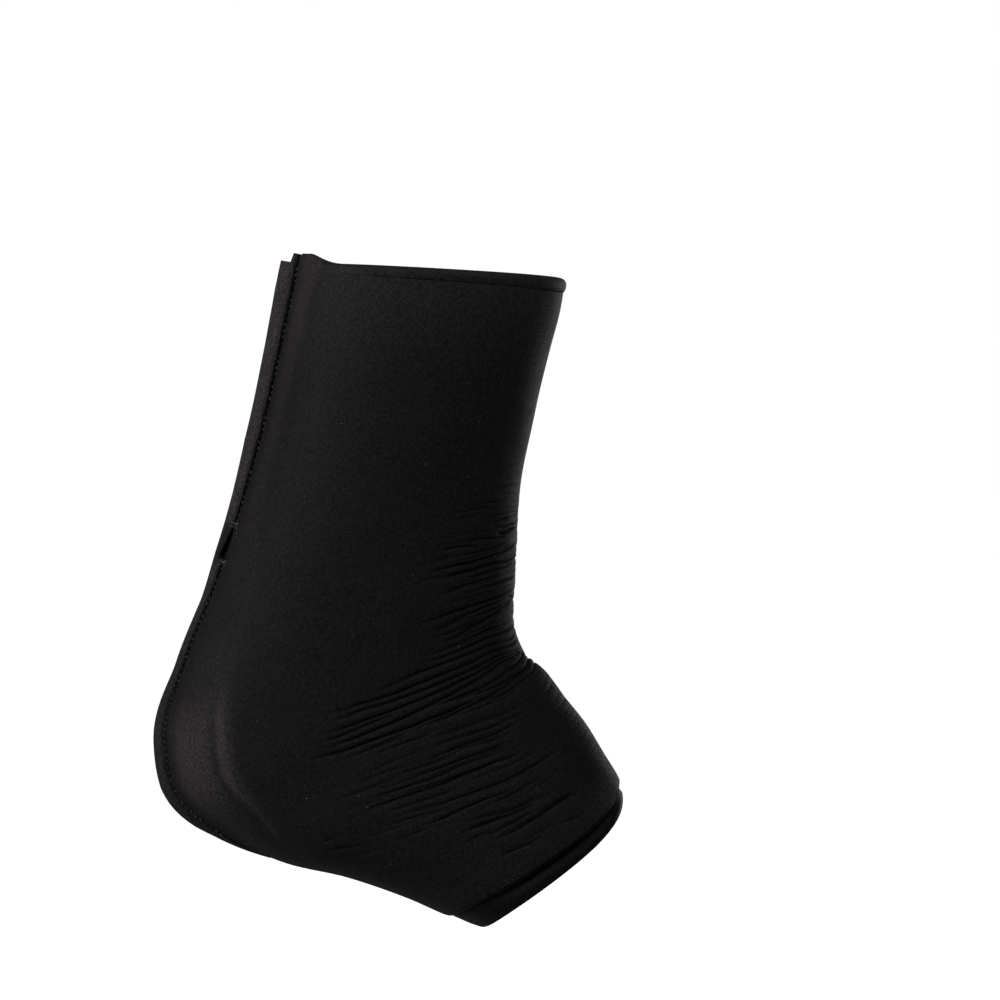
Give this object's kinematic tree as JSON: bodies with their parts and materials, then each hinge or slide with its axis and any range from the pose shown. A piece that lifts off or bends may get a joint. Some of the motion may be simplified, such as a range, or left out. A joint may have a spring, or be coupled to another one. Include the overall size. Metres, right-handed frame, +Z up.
{
  "type": "ankle compression sleeve",
  "caption": "Padded black stretch-fabric sleeve for the ankle, bent as worn, with a raised stitched seam behind the heel, a rolled hem at the leg and a soft cuff at the foot opening.",
  "frame": {"origin": "the centre of the ankle that the sleeve is worn on", "axes": "+X to the toes, +Y across the ankle, +Z up the leg, with the foot pointing down as it is worn in the picture"},
  "size_m": [0.179, 0.0944, 0.2558],
  "materials": {
    "padded_stretch_cloth": "matte black knitted nylon over a soft core",
    "seam_cloth": "matte black knitted nylon, doubled and stitched",
    "hem_cloth": "matte black knitted nylon, turned over"
  },
  "bodies": {
    "root": {"sleeve_body": "padded_stretch_cloth", "back_seam": "seam_cloth", "leg_hem": "hem_cloth", "foot_cuff": "hem_cloth"}
  },
  "joints": []
}
